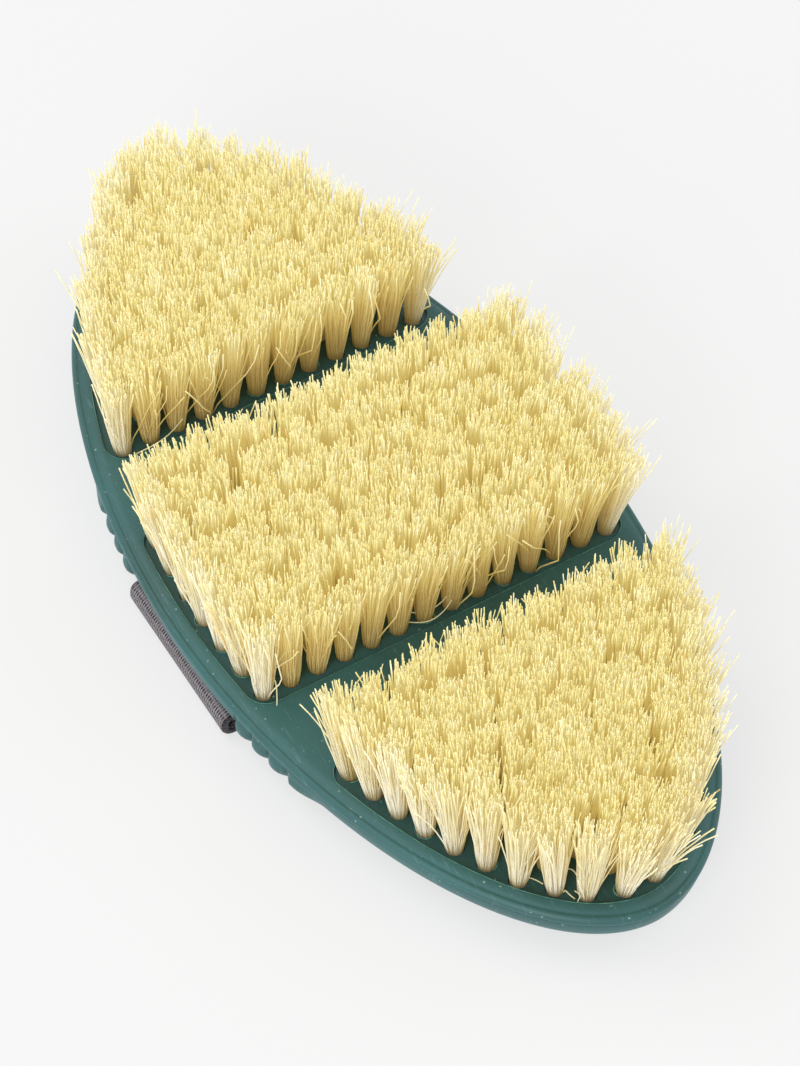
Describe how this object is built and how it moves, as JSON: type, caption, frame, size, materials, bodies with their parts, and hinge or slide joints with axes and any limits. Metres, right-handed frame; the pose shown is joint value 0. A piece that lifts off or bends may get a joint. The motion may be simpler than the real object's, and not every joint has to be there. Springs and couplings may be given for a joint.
{
  "type": "flexible oval strap grooming brush",
  "caption": "Oval flexible rubber grooming brush for horses or dogs: stiff natural-fibre tufts in separate blocks divided by flex channels, with an elastic hand strap on the back.",
  "frame": {"origin": "middle of the flat underside of the hand strap, on the resting plane", "axes": "+Z towards the bristle tips, +X along the brush to the heel block, +Y to the left side"},
  "size_m": [0.2102, 0.0996, 0.0373],
  "materials": {
    "rubber": "satin",
    "plate": "matte",
    "fibre": "satin",
    "wire": "satin",
    "webbing": "matte",
    "bar": "matte"
  },
  "bodies": {
    "middle": {"middle_back_shell": "rubber", "middle_face_tray": "rubber", "toe_flex_web": "rubber", "heel_flex_web": "rubber", "middle_tuft_plate": "plate", "middle_anchor_wires": "wire", "left_strap_side": "webbing", "right_strap_side": "webbing", "left_strap_end": "webbing", "right_strap_end": "webbing", "left_strap_anchor": "bar", "right_strap_anchor": "bar", "middle_tuft_row_1": "fibre", "middle_tuft_row_2": "fibre", "middle_tuft_row_3": "fibre", "middle_tuft_row_4": "fibre", "middle_tuft_row_5": "fibre", "middle_tuft_row_6": "fibre", "middle_tuft_row_7": "fibre"},
    "toe": {"toe_back_shell": "rubber", "toe_face_tray": "rubber", "toe_tuft_plate": "plate", "toe_anchor_wires": "wire", "toe_tuft_row_1": "fibre", "toe_tuft_row_2": "fibre", "toe_tuft_row_3": "fibre", "toe_tuft_row_4": "fibre", "toe_tuft_row_5": "fibre", "toe_tuft_row_6": "fibre", "toe_tuft_row_7": "fibre", "toe_tuft_row_8": "fibre", "toe_tuft_row_9": "fibre"},
    "heel": {"heel_back_shell": "rubber", "heel_face_tray": "rubber", "heel_tuft_plate": "plate", "heel_anchor_wires": "wire", "heel_tuft_row_1": "fibre", "heel_tuft_row_2": "fibre", "heel_tuft_row_3": "fibre", "heel_tuft_row_4": "fibre", "heel_tuft_row_5": "fibre", "heel_tuft_row_6": "fibre", "heel_tuft_row_7": "fibre", "heel_tuft_row_8": "fibre", "heel_tuft_row_9": "fibre"},
    "strap": {"hand_strap": "webbing"}
  },
  "joints": [
    {"name": "toe_flex", "type": "hinge", "parent": "middle", "child": "toe", "pos_m": [-0.03465, 0, 0.00783], "axis": [0, 1, 0], "range_deg": [-12, 22], "stiffness_Nm_per_rad": 0.6},
    {"name": "heel_flex", "type": "hinge", "parent": "middle", "child": "heel", "pos_m": [0.03465, 0, 0.00783], "axis": [0, -1, 0], "range_deg": [-12, 22], "stiffness_Nm_per_rad": 0.6},
    {"name": "strap_lift", "type": "slide", "parent": "middle", "child": "strap", "axis": [0, 0, -1], "range_m": [0, 0.025], "stiffness_N_per_m": 40, "deforming": ["left_strap_side", "right_strap_side"]}
  ]
}
